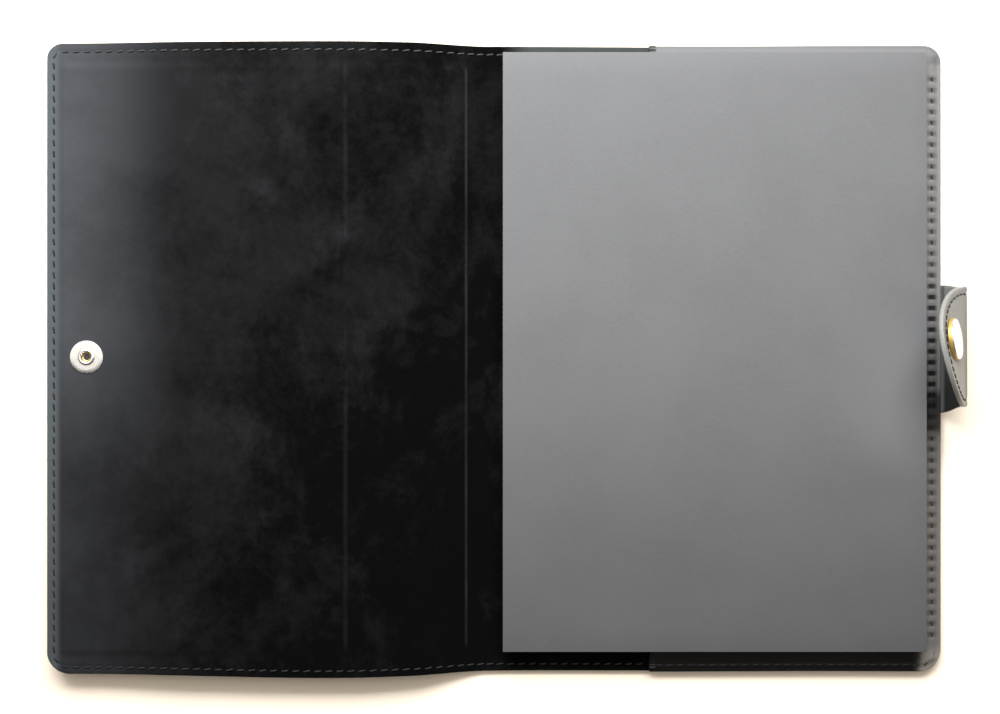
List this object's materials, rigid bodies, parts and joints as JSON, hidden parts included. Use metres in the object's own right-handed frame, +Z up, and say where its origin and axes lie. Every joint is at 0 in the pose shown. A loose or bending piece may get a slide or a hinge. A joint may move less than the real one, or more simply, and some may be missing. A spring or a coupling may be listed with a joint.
{
  "type": "leather notebook cover",
  "caption": "Open leather notebook cover with suede lining, a side pocket holding a notebook, and a snap tab on its edge.",
  "frame": {"origin": "on the table under the middle of the spine, half way up the cover", "axes": "+X from the spine to the tab across the open cover, +Y up the page, +Z up from the table"},
  "size_m": [0.3193, 0.2206, 0.0358],
  "materials": {
    "smooth_leather": "black full-grain leather with a soft gloss",
    "suede": "black napped suede",
    "thread": "black waxed thread",
    "board": "plain board",
    "nickel": "polished nickel plate",
    "spring_steel": "spring wire",
    "notebook_card": "dark grey matt card",
    "paper": "uncoated writing paper"
  },
  "bodies": {
    "back_cover": {"back_outer_leather": "smooth_leather", "back_lining": "suede", "pocket_panel": "smooth_leather", "back_seam_thread": "thread", "pocket_bar_tacks": "thread", "tab_sewn_end": "smooth_leather"},
    "spine": {"spine_outer_leather": "smooth_leather", "spine_lining": "suede"},
    "hinge_strip": {"strip_outer_leather": "smooth_leather", "strip_lining": "suede"},
    "front_cover": {"front_outer_leather": "smooth_leather", "front_stiffener_board": "board", "front_lining": "suede", "front_seam_thread": "thread", "snap_stud": "nickel", "snap_eyelet": "nickel"},
    "tab_link": {"tab_link_leather": "smooth_leather"},
    "tab_arm": {"tab_arm_leather": "smooth_leather", "tab_edge_thread": "thread", "snap_cap": "nickel", "snap_socket": "nickel", "snap_spring": "spring_steel"},
    "notebook": {"notebook_back_board": "notebook_card", "notebook_page_block": "paper", "notebook_spine_cloth": "notebook_card", "notebook_staples": "spring_steel"},
    "notebook_cover": {"notebook_front_board": "notebook_card", "notebook_endpaper": "paper"}
  },
  "joints": [
    {"name": "spine_fold", "type": "hinge", "parent": "back_cover", "child": "spine", "pos_m": [0.0032, 0, 0.001], "axis": [0, 1, 0], "range_deg": [0, 90]},
    {"name": "front_fold", "type": "hinge", "parent": "spine", "child": "hinge_strip", "pos_m": [-0.007, 0, 0.001], "axis": [0, 1, 0], "range_deg": [0, 71.16]},
    {"name": "panel_flatten", "type": "hinge", "parent": "hinge_strip", "child": "front_cover", "pos_m": [-0.024, 0, 0.0068], "axis": [0, 1, 0], "range_deg": [0, 18.85]},
    {"name": "notebook_seat", "type": "slide", "parent": "back_cover", "child": "notebook", "axis": [1, 0, 0], "range_m": [0, 0.0034]},
    {"name": "notebook_opening", "type": "hinge", "parent": "notebook", "child": "notebook_cover", "pos_m": [0.00095, 0.00175, 0.0076], "axis": [0, 1, 0], "range_deg": [-168, 0]},
    {"name": "tab_swing", "type": "hinge", "parent": "back_cover", "child": "tab_link", "pos_m": [0.157, 0.003, 0.0018], "axis": [0, -1, 0], "range_deg": [-60, 12]},
    {"name": "tab_wrap", "type": "hinge", "parent": "tab_link", "child": "tab_arm", "pos_m": [0.15966, 0.003, 0.01432], "axis": [0.2523, -0.8757, 0.4116], "range_deg": [-45, 44.03]}
  ],
  "couplings": [
    {"joint": "panel_flatten", "follows": "front_fold", "ratio": 0.26473},
    {"joint": "notebook_seat", "follows": "spine_fold", "m_per_rad": 0.0021327}
  ]
}
